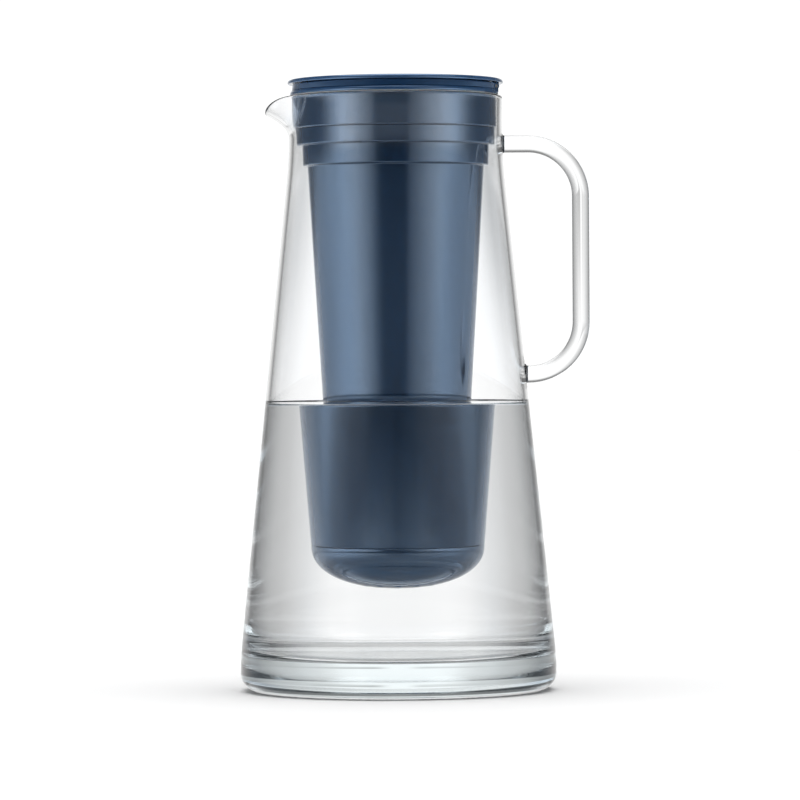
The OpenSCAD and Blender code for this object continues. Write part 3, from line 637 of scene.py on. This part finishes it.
def hopper():
    """The hopper: upstand, rim band, shoulder and tapered body, with a ledge for its floor."""
    outline = [(LOWER_BORE_R, JOINT_Z, EDGE_R), (BODY_BOTTOM_R, JOINT_Z, JOINT_ROUND),
               (BODY_TOP_R, BODY_TOP_Z)]
    outline += arc(BODY_TOP_R + FILLET_X, SHOULDER_Z - FILLET_R, FILLET_R, 180, 90, steps=5)
    outline += [(SHOULDER_LOW_R, SHOULDER_Z, SHOULDER_ROUND),
                (SHOULDER_R, BAND_Z - SHOULDER_STEP, SHOULDER_STEP),
                (BAND_R - BAND_LEAN, BAND_Z, BAND_ROUND),
                (BAND_R, BAND_TOP, BAND_TOP_ROUND), (UPSTAND_R, BAND_TOP)]
    outline += groove(UPSTAND_R, HOPPER_SEAL_Z)[::-1]
    outline += [(UPSTAND_R, HOPPER_TOP, UPSTAND_ROUND), (UPSTAND_IN, HOPPER_TOP, EDGE_R),
                (UPSTAND_IN, BAND_IN_Z), (SHOULDER_R - HOPPER_T, SHOULDER_IN_Z),
                (SHOULDER_LOW_R - HOPPER_T, SHOULDER_Z), (BODY_TOP_R - HOPPER_T, BODY_TOP_Z),
                (body_bore_at(FLOOR_Z), FLOOR_Z), (LOWER_BORE_R, FLOOR_Z, EDGE_R)]
    shell = turned("hopper_moulding", outline)
    lugs = [sector(CUP_BORE_R + SLIDE_GAP, LOWER_BORE_R + BOND, CUP_LUG_Z, LUG_H,
                   360 / LUG_COUNT * i, LUG_ANGLE / 2) for i in range(LUG_COUNT)]
    return crisp(combine(shell, lugs, "UNION"))


def hopper_floor():
    """The floor welded onto the ledge, with the cartridge's bayonet socket standing in it."""
    edge_r = body_bore_at(FLOOR_Z) - SEAT_GAP
    socket_out = SOCKET_R + SOCKET_T
    plate_low, plate_top = FLOOR_Z + SEAT_GAP, FLOOR_Z + FLOOR_T
    plate = turned("hopper_floor_moulding", [
        (SOCKET_R, SOCKET_Z, EDGE_R), (socket_out, SOCKET_Z, EDGE_R), (socket_out, plate_low),
        (edge_r, plate_low, EDGE_R), (edge_r, plate_top, EDGE_R), (socket_out, plate_top),
        (socket_out, SOCKET_TOP, EDGE_R), (SOCKET_R, SOCKET_TOP, EDGE_R)])
    slots = lug_slots(SOCKET_R - PAST, socket_out + PAST, SPIGOT_LUG_Z, SOCKET_TOP, way=1)
    return crisp(combine(plate, slots, "DIFFERENCE"))


def cup_curve(radius, z, height, from_r=None):
    """One side of the rounded cup, from its edge or from a smaller radius down to the axis."""
    def fall(share):
        return max(0.0, 1 - share ** CUP_FULLNESS) ** (1 / CUP_FULLNESS)

    start = math.asin(fall(from_r / radius)) if from_r else 0.0
    depths = [math.sin(start + (math.pi / 2 - start) * i / CUP_ROWS) for i in range(CUP_ROWS + 1)]
    return [(radius * fall(d), z - height * d) for d in depths]


def filter_cup():
    """The rounded cup under the body, with its neck, bayonet slots and outlet holes."""
    outer = cup_curve(BODY_BOTTOM_R, CUP_Z, CUP_H)
    inner = cup_curve(BODY_BOTTOM_R - HOPPER_T, CUP_Z, CUP_H - HOPPER_T, CUP_BORE_R)[::-1]
    neck = [(CUP_BORE_R, CUP_NECK_Z, EDGE_R), (CUP_NECK_R, CUP_NECK_Z, CUP_NECK_ROUND)]
    neck += groove(CUP_NECK_R, CUP_SEAL_Z) + [(CUP_NECK_R, CUP_Z)]
    # The edge's rounding takes the place of the curve's next two points.
    edge = [(*outer[0], EDGE_R)] + outer[3:]
    cup = turned("filter_cup_moulding", inner + neck + edge)
    slots = lug_slots(CUP_BORE_R - PAST, CUP_NECK_R + PAST, CUP_LUG_Z, CUP_NECK_Z, way=-1)
    combine(cup, slots, "DIFFERENCE")
    holes = []
    for row_r, count in OUTLET_ROWS:
        for i in range(count):
            a = 2 * math.pi * i / count
            middle = (row_r * math.cos(a), row_r * math.sin(a), CUP_Z - CUP_H)
            holes.append(round_bar(OUTLET_R, 2 * CUP_H, middle, "Z", HOLE_STEPS))
    return crisp(combine(cup, holes, "DIFFERENCE"))


# ---------------------------------------------------------------- finishes

class Finish:
    """A material whose pattern is built from nodes on Object coordinates."""

    def __init__(self, name):
        self.material = bpy.data.materials.new(name + "_finish")
        self.material.use_nodes = True
        self.nodes = self.material.node_tree.nodes
        self.links = self.material.node_tree.links
        self.shader = self.nodes["Principled BSDF"]
        self.place = self.nodes.new("ShaderNodeTexCoord").outputs["Object"]

    def set(self, **values):
        """Sets shader sockets by name, with underscores for spaces."""
        for name, value in values.items():
            self.shader.inputs[name.replace("_", " ")].default_value = value
        return self

    def noise(self, size, detail=3.0, stretch_z=1.0):
        """Noise whose features have a size in metres, drawn out along Z by a factor."""
        mapping = self.nodes.new("ShaderNodeMapping")
        mapping.inputs["Scale"].default_value = (1, 1, 1 / stretch_z)
        self.links.new(self.place, mapping.inputs["Vector"])
        node = self.nodes.new("ShaderNodeTexNoise")
        node.inputs["Scale"].default_value = 1 / size
        node.inputs["Detail"].default_value = detail
        self.links.new(mapping.outputs["Vector"], node.inputs["Vector"])
        return node.outputs["Fac"]

    def grains(self, size):
        """Cells of a size in metres: their distance from the middle, and a colour each."""
        node = self.nodes.new("ShaderNodeTexVoronoi")
        node.inputs["Scale"].default_value = 1 / size
        self.links.new(self.place, node.inputs["Vector"])
        return node.outputs["Distance"], node.outputs["Color"]

    def spread(self, value, low, high, socket):
        """Drives a shader socket between two values."""
        node = self.nodes.new("ShaderNodeMapRange")
        node.inputs["To Min"].default_value = low
        node.inputs["To Max"].default_value = high
        self.links.new(value, node.inputs["Value"])
        self.links.new(node.outputs["Result"], self.shader.inputs[socket])
        return self

    def tint(self, value, dark, light, low=0.3, high=0.7):
        """Drives the base colour between two colours."""
        node = self.nodes.new("ShaderNodeValToRGB")
        node.color_ramp.elements[0].position = low
        node.color_ramp.elements[0].color = (*dark, 1)
        node.color_ramp.elements[1].position = high
        node.color_ramp.elements[1].color = (*light, 1)
        self.links.new(value, node.inputs["Fac"])
        self.links.new(node.outputs["Color"], self.shader.inputs["Base Color"])
        return self

    def relief(self, value, height, after=None):
        """Raises the surface by a height in metres, over an earlier relief if one is given."""
        node = self.nodes.new("ShaderNodeBump")
        node.inputs["Distance"].default_value = height
        self.links.new(value, node.inputs["Height"])
        if after is not None:
            self.links.new(after, node.inputs["Normal"])
        self.links.new(node.outputs["Normal"], self.shader.inputs["Normal"])
        return node.outputs["Normal"]

    def absorb(self, colour, density):
        """Tints light by how far it travels inside."""
        node = self.nodes.new("ShaderNodeVolumeAbsorption")
        node.inputs["Color"].default_value = (*colour, 1)
        node.inputs["Density"].default_value = density
        output = self.nodes["Material Output"]
        self.links.new(node.outputs["Volume"], output.inputs["Volume"])
        return self


def clear_glass():
    f = Finish("clear_glass")
    f.set(Base_Color=(1, 1, 1, 1), Transmission_Weight=1.0, IOR=1.473,
          Specular_Tint=(0.8, 0.8, 0.8, 1))
    f.spread(f.noise(14 * MM, 2.0), 0.0, 0.006, "Roughness")
    f.relief(f.noise(26 * MM, 1.0, 1.6), 0.0025 * MM)
    f.absorb((0.70, 0.87, 0.90), 3.0)
    return f.material


def clear_water():
    f = Finish("clear_water")
    f.set(Base_Color=(1, 1, 1, 1), Transmission_Weight=1.0, IOR=1.333)
    f.spread(f.noise(20 * MM, 1.0), 0.0, 0.003, "Roughness")
    f.relief(f.noise(22 * MM, 1.0), 0.001 * MM)
    f.absorb((0.80, 0.92, 0.96), 0.5)
    return f.material


def blue_plastic():
    f = Finish("blue_plastic")
    f.set(IOR=1.85, Specular_IOR_Level=0.95, Specular_Tint=(0.58, 0.76, 1.0, 1))
    f.tint(f.noise(18 * MM, 2.0, 2.0), (0.0266, 0.0836, 0.200), (0.0304, 0.0903, 0.217))
    f.spread(f.noise(7 * MM, 4.0), 0.04, 0.09, "Roughness")
    fine = f.relief(f.noise(0.35 * MM, 3.0), 0.0002 * MM)
    f.relief(f.noise(9 * MM, 1.0), 0.003 * MM, fine)
    return f.material


def silicone():
    f = Finish("silicone")
    f.set(IOR=1.42, Subsurface_Weight=0.25, Subsurface_Scale=1 * MM)
    f.tint(f.noise(4 * MM), (0.50, 0.53, 0.56), (0.60, 0.63, 0.66))
    f.spread(f.noise(2 * MM), 0.42, 0.58, "Roughness")
    f.relief(f.noise(0.2 * MM), 0.004 * MM)
    return f.material


def steel_pin():
    f = Finish("steel_pin")
    f.set(Metallic=1.0, Anisotropic=0.5)
    f.tint(f.noise(1.5 * MM), (0.52, 0.53, 0.55), (0.66, 0.67, 0.69))
    f.spread(f.noise(0.6 * MM, 4.0), 0.18, 0.34, "Roughness")
    f.relief(f.noise(0.12 * MM), 0.001 * MM)
    return f.material


def white_plastic():
    f = Finish("white_plastic")
    f.set(IOR=1.49, Subsurface_Weight=0.12, Subsurface_Scale=1.5 * MM)
    f.tint(f.noise(10 * MM), (0.78, 0.79, 0.80), (0.86, 0.87, 0.88))
    f.spread(f.noise(3 * MM, 4.0), 0.30, 0.44, "Roughness")
    f.relief(f.noise(0.3 * MM), 0.005 * MM)
    return f.material


def resin():
    f = Finish("resin")
    f.set(IOR=1.55, Coat_Weight=0.4, Coat_Roughness=0.08)
    f.tint(f.noise(3 * MM), (0.62, 0.52, 0.32), (0.78, 0.69, 0.47))
    f.spread(f.noise(2 * MM), 0.22, 0.4, "Roughness")
    f.relief(f.noise(1.2 * MM), 0.02 * MM)
    return f.material


def fibre():
    f = Finish("fibre")
    f.set(Sheen_Weight=0.3)
    f.tint(f.noise(0.8 * MM), (0.80, 0.80, 0.78), (0.92, 0.92, 0.90))
    f.spread(f.noise(0.5 * MM), 0.5, 0.75, "Roughness")
    f.relief(f.noise(0.15 * MM), 0.01 * MM)
    return f.material


def felt():
    f = Finish("felt")
    f.set(Sheen_Weight=0.5, Sheen_Roughness=0.5)
    f.tint(f.noise(0.7 * MM, 6.0), (0.66, 0.67, 0.68), (0.88, 0.88, 0.88))
    f.spread(f.noise(0.5 * MM), 0.8, 0.98, "Roughness")
    f.relief(f.noise(0.4 * MM, 6.0), 0.15 * MM)
    return f.material


def granules():
    f = Finish("granules")
    distance, shade = f.grains(1.1 * MM)
    f.tint(shade, (0.010, 0.010, 0.011), (0.10, 0.095, 0.085), 0.2, 0.95)
    f.spread(distance, 0.35, 0.75, "Roughness")
    f.relief(distance, -0.4 * MM)
    return f.material


FINISHES = {make.__name__: make() for make in (
    clear_glass, blue_plastic, silicone, steel_pin, white_plastic, resin, fibre, felt, granules)}


def dress(piece, material):
    """Gives a piece one material."""
    piece.data.materials.clear()
    piece.data.materials.append(material)


# ---------------------------------------------------------------- the object

def dress_cad_nodes():
    """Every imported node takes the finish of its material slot."""
    for row in frame["record"]["subparts"]:
        node = frame["nodes"][row["node"]]
        for place in node.material_slots:
            place.material = FINISHES[row["material_slot"]]


def add_piece(piece, body, slot, *nodes):
    """A new piece that rides on a body and stands for CAD nodes."""
    dress(piece, FINISHES[slot])
    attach(piece, body)
    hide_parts(*nodes)


def build_object():
    """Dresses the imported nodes, and makes the pieces that stand for the visible ones."""
    dress_cad_nodes()
    add_piece(glass_pitcher(), "jug", "clear_glass", "glass_jug", "glass_handle")
    add_piece(hopper(), "insert", "blue_plastic", "hopper")
    add_piece(hopper_floor(), "insert", "blue_plastic", "hopper_floor")
    add_piece(filter_cup(), "cup", "blue_plastic", "filter_cup")
    add_piece(lid_ring(), "ring", "blue_plastic", "lid_ring")
    add_piece(flip_lid(), "lid", "blue_plastic", "flip_lid")
    contents = water()
    dress(contents, clear_water())
    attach(contents, "jug")


# ---------------------------------------------------------------- stage, light and camera

STAGE_STEPS = 96
FLOOR_DROP = 0.15 * MM    # how far the stage lies under the jug's base
TABLE_R = 470 * MM        # the table, which also throws light back onto matt surfaces
FLOOR_R = 6.0             # the floor that carries on from it to the horizon


def stage_floor():
    """A pale table and the floor round it, which glass and gloss don't show."""
    f = Finish("stage_floor")
    f.set(Roughness=0.9, Specular_IOR_Level=0.1)
    f.tint(f.noise(0.6, 2.0), (0.86, 0.86, 0.86), (0.88, 0.88, 0.88))
    bm = bmesh.new()
    bmesh.ops.create_circle(bm, cap_ends=True, segments=STAGE_STEPS, radius=TABLE_R)
    bmesh.ops.translate(bm, verts=bm.verts, vec=(0, 0, -FLOOR_DROP))
    table = piece_from(bm, "stage_table")
    bm = bmesh.new()
    bmesh.ops.create_circle(bm, segments=STAGE_STEPS, radius=TABLE_R)
    made = bmesh.ops.extrude_edge_only(bm, edges=bm.edges)["geom"]
    outer = [v for v in made if isinstance(v, bmesh.types.BMVert)]
    bmesh.ops.scale(bm, verts=outer, vec=(FLOOR_R / TABLE_R, FLOOR_R / TABLE_R, 1))
    bmesh.ops.translate(bm, verts=bm.verts, vec=(0, 0, -FLOOR_DROP))
    floor = piece_from(bm, "stage_floor")
    floor.visible_diffuse = False
    for stage in (table, floor):
        stage.visible_glossy = stage.visible_transmission = False
        dress(stage, f.material)


# Brightness round the studio, as stops of an angle in degrees and a level. Angles run from the
# camera's side, which is 0, to the handle's side, which is +90. The backdrop is white at the
# front, the back and both sides and grey in the corners. Its angles run from the front or the
# back, whichever is nearer, to the sides.
BACKDROP = (
    (0, 1.08), (9, 1.08), (13, 1.0), (16.5, 0.86), (20, 0.76), (25, 0.69), (29, 0.61),
    (36, 0.53), (42, 0.42), (50, 0.29), (60, 0.25), (75, 0.25), (80, 1.0), (90, 1.0))
# Shares of the backdrop left just over the horizon, as clear glass shows it beside the filter.
UPPER = (
    (-180, 1.0), (-178, 1.0), (-175, 0.66), (-168, 0.72), (-158, 0.9), (-130, 1.0), (130, 1.0),
    (156, 0.85), (167, 0.57), (175, 0.48), (178, 1.0), (180, 1.0))
UPWARD = 0.25             # brightness over the backdrop, as clear glass shows it

# What glossy surfaces show, from the table under the object up to the horizon and over it.
BELOW = 0.48              # the table right under the filter
DEEP = (
    (-180, 0.9), (-121, 1.2), (-94, 1.6), (-72, 1.5), (-46, 1.0), (0, 0.38), (46, 0.8),
    (72, 1.0), (94, 0.9), (121, 0.6), (180, 0.9))
UNDER_SURFACE = (
    (-180, 0.6), (-116, 0.45), (-88, 0.30), (-66, 0.15), (-46, 0.13), (-18, 0.10), (0, 0.07),
    (18, 0.12), (46, 0.13), (66, 0.14), (88, 0.18), (116, 0.22), (180, 0.6))
TABLE_GLOW = (
    (-180, 0.9), (-130, 0.85), (-106, 1.75), (-60, 1.9), (-41, 1.15), (-34, 0.85), (-26, 0.4),
    (-19, 0.18), (-12, 0.15), (10, 0.15), (14, 0.22), (19, 0.45), (29, 0.7), (47, 1.1),
    (67, 1.6), (90, 1.6), (112, 0.9), (135, 0.4), (180, 0.9))
SOFTBOXES = (
    (-180, 1.0), (-128, 0.85), (-106, 1.1), (-94, 1.35), (-72, 1.9), (-54, 1.7), (-38, 0.95),
    (-27, 0.42), (-21, 0.1), (-14, 0.03), (10, 0.03), (14, 0.1), (19, 0.35), (27, 0.58),
    (43, 1.2), (60, 1.75), (70, 1.6), (80, 1.3), (92, 1.05), (128, 0.8), (180, 1.0))
LEVEL = (
    (-180, 1.0), (-166, 0.9), (-150, 0.18), (-102, 0.15), (-90, 0.25), (-82, 0.6), (-72, 1.3),
    (-63, 1.95), (-51, 1.7), (-38, 0.98), (-28, 0.6), (-23, 0.27), (-19, 0.23), (12, 0.23),
    (15, 0.33), (19, 0.45), (27, 0.62), (43, 1.2), (60, 1.75), (70, 1.65), (80, 1.0),
    (87, 0.55), (94, 0.3), (104, 0.16), (150, 0.16), (166, 0.9), (180, 1.0))
# Shares of the softboxes left over the horizon, where the leaning glass looks, and over them.
# Their angles run from the front, 0, to the back, 180.
OVER_EYE = ((0, 0.3), (90, 0.3), (104, 0.4), (150, 0.4), (166, 1.0), (180, 1.0))
OVER_BOXES = ((0, 0.08), (125, 0.08), (180, 0.3))
OVERHEAD_GLOSS = 2.2      # the box over the table
# Light from the sides takes on a tint in glossy surfaces, by these shares.
SIDES = ((0, 0.0), (50, 0.15), (72, 0.9), (90, 1.0), (125, 1.0), (150, 0.0), (180, 0.0))
SIDE_TINT = (0.80, 0.90, 1.0)

# What lights matt surfaces.
FILL = 0.368              # share of SOFTBOXES
OVERHEAD = 3.15           # brightness of the box over the table

# Degrees of elevation over which one brightness gives way to the next.
TABLE_TO_BACKDROP = (-40, -25)
SHADE_STARTS = (-0.1, 2.5)
SHADE_ENDS = (2.7, 3.3)
BACKDROP_ENDS = (25, 45)
GLOSS_BANDS = (
    ((-48, -20), DEEP), ((-15.3, -14.6), UNDER_SURFACE), ((-12.5, -11), TABLE_GLOW),
    ((-6.5, -3.5), SOFTBOXES), ((-1.0, 0.5), LEVEL))
SOFTBOX_BANDS = (((5.5, 8.5), OVER_EYE), ((14, 18), OVER_BOXES))
OVERHEAD_STARTS = (50, 62)


def studio_world():
    """The studio as a world: one brightness for matt surfaces, one for gloss, one for the rest."""
    world = bpy.data.worlds.new("studio")
    bpy.context.scene.world = world
    world.use_nodes = True
    nodes, links = world.node_tree.nodes, world.node_tree.links
    axes = nodes.new("ShaderNodeSeparateXYZ")
    links.new(nodes.new("ShaderNodeTexCoord").outputs["Generated"], axes.inputs[0])
    path = nodes.new("ShaderNodeLightPath").outputs

    def feed(value, socket):
        """Sets a socket to a number, or links an output to it."""
        if isinstance(value, (int, float)):
            socket.default_value = value
        else:
            links.new(value, socket)

    def calculate(operation, *values):
        """A Math node on numbers or outputs."""
        node = nodes.new("ShaderNodeMath")
        node.operation = operation
        for socket, value in zip(node.inputs, values):
            feed(value, socket)
        return node.outputs[0]

    def blend(share, low, high):
        """Mixes two numbers. On a Mix node, sockets 2 and 3 are the numbers."""
        node = nodes.new("ShaderNodeMix")
        feed(share, node.inputs[0])
        feed(low, node.inputs[2])
        feed(high, node.inputs[3])
        return node.outputs[0]

    def after(kind):
        """1 for light that has already met such a surface, otherwise 0."""
        return calculate("GREATER_THAN", path[kind + " Depth"], 0.5)

    def climb(elevations):
        """Rises from 0 to 1 between two elevations in degrees."""
        node = nodes.new("ShaderNodeMapRange")
        node.interpolation_type = "SMOOTHSTEP"
        for name, degrees in zip(("From Min", "From Max"), elevations):
            node.inputs[name].default_value = math.sin(math.radians(degrees))
        links.new(axes.outputs["Z"], node.inputs["Value"])
        return node.outputs["Result"]

    away = calculate("ARCTAN2", axes.outputs["X"], calculate("MULTIPLY", axes.outputs["Y"], -1.0))
    away = calculate("MULTIPLY", away, 180 / math.pi)
    from_front = calculate("ABSOLUTE", away)

    def all_round(stops, angle=away):
        """Brightness by direction from a list of angles and levels."""
        first, last = stops[0][0], stops[-1][0]
        peak = max(level for _, level in stops)
        share = calculate("DIVIDE", calculate("SUBTRACT", angle, first), last - first)
        ramp = nodes.new("ShaderNodeValToRGB")
        links.new(share, ramp.inputs["Fac"])
        marks = ramp.color_ramp.elements
        while len(marks) < len(stops):
            marks.new(1.0)
        for mark, (degrees, level) in zip(marks, stops):
            mark.position = (degrees - first) / (last - first)
            mark.color = (level / peak,) * 3 + (1,)
        return calculate("MULTIPLY", ramp.outputs["Color"], peak)

    backdrop = all_round(BACKDROP, calculate("PINGPONG", from_front, 90.0))
    backdrop = blend(climb(TABLE_TO_BACKDROP), 1.0, backdrop)
    shaded = calculate("MULTIPLY", backdrop, all_round(UPPER))
    through = calculate("MULTIPLY", climb(SHADE_STARTS), after("Transmission"))
    beside = blend(through, backdrop, shaded)
    backdrop = blend(climb(SHADE_ENDS), beside, backdrop)
    backdrop = blend(climb(BACKDROP_ENDS), backdrop, UPWARD)

    gloss = BELOW
    for elevations, stops in GLOSS_BANDS:
        gloss = blend(climb(elevations), gloss, all_round(stops))
    softboxes = all_round(SOFTBOXES)
    for elevations, stops in SOFTBOX_BANDS:
        left = calculate("MULTIPLY", softboxes, all_round(stops, from_front))
        gloss = blend(climb(elevations), gloss, left)
    gloss = blend(climb(OVERHEAD_STARTS), gloss, OVERHEAD_GLOSS)
    matt = blend(climb(OVERHEAD_STARTS), calculate("MULTIPLY", softboxes, FILL), OVERHEAD)

    glossy = after("Glossy")
    level = blend(after("Diffuse"), blend(glossy, backdrop, gloss), matt)
    links.new(level, nodes["Background"].inputs["Strength"])
    # On a Mix node, sockets 6 and 7 are the colours, and output 2 is the mixed one.
    tint = nodes.new("ShaderNodeMix")
    tint.data_type = "RGBA"
    tint.inputs[6].default_value = (1, 1, 1, 1)
    tint.inputs[7].default_value = (*SIDE_TINT, 1)
    sides = all_round(SIDES, from_front)
    feed(calculate("MULTIPLY", sides, glossy), tint.inputs[0])
    links.new(tint.outputs[2], nodes["Background"].inputs["Color"])


CAMERA_DISTANCE = 2.128
CAMERA_HEIGHT = 144 * MM
FRAME_MIDDLE = Vector((1.3 * MM, 0, 129.75 * MM))
LENS = 213.9              # focal length and sensor width in millimetres
SENSOR_WIDTH = 36.0
ROLL = math.radians(0.336)


def place_camera():
    """A long lens near the height of the jug's middle, rolled a little."""
    camera = bpy.data.objects.new("camera", bpy.data.cameras.new("camera"))
    bpy.context.scene.collection.objects.link(camera)
    camera.data.lens = LENS
    camera.data.sensor_width = SENSOR_WIDTH
    camera.location = (FRAME_MIDDLE.x, -CAMERA_DISTANCE, CAMERA_HEIGHT)
    turn = (FRAME_MIDDLE - camera.location).to_track_quat("-Z", "Y")
    camera.rotation_mode = "QUATERNION"
    camera.rotation_quaternion = turn @ Quaternion((0, 0, 1), -ROLL)
    bpy.context.scene.camera = camera


def set_light_paths():
    """Enough bounces for light to pass the glass, the water and the filter's gloss."""
    scene = bpy.context.scene
    scene.view_settings.view_transform = "Standard"
    scene.cycles.max_bounces = 24
    scene.cycles.transmission_bounces = 24
    scene.cycles.glossy_bounces = 8
    scene.cycles.diffuse_bounces = 4


place_camera()
build_object()
stage_floor()
studio_world()
set_light_paths()
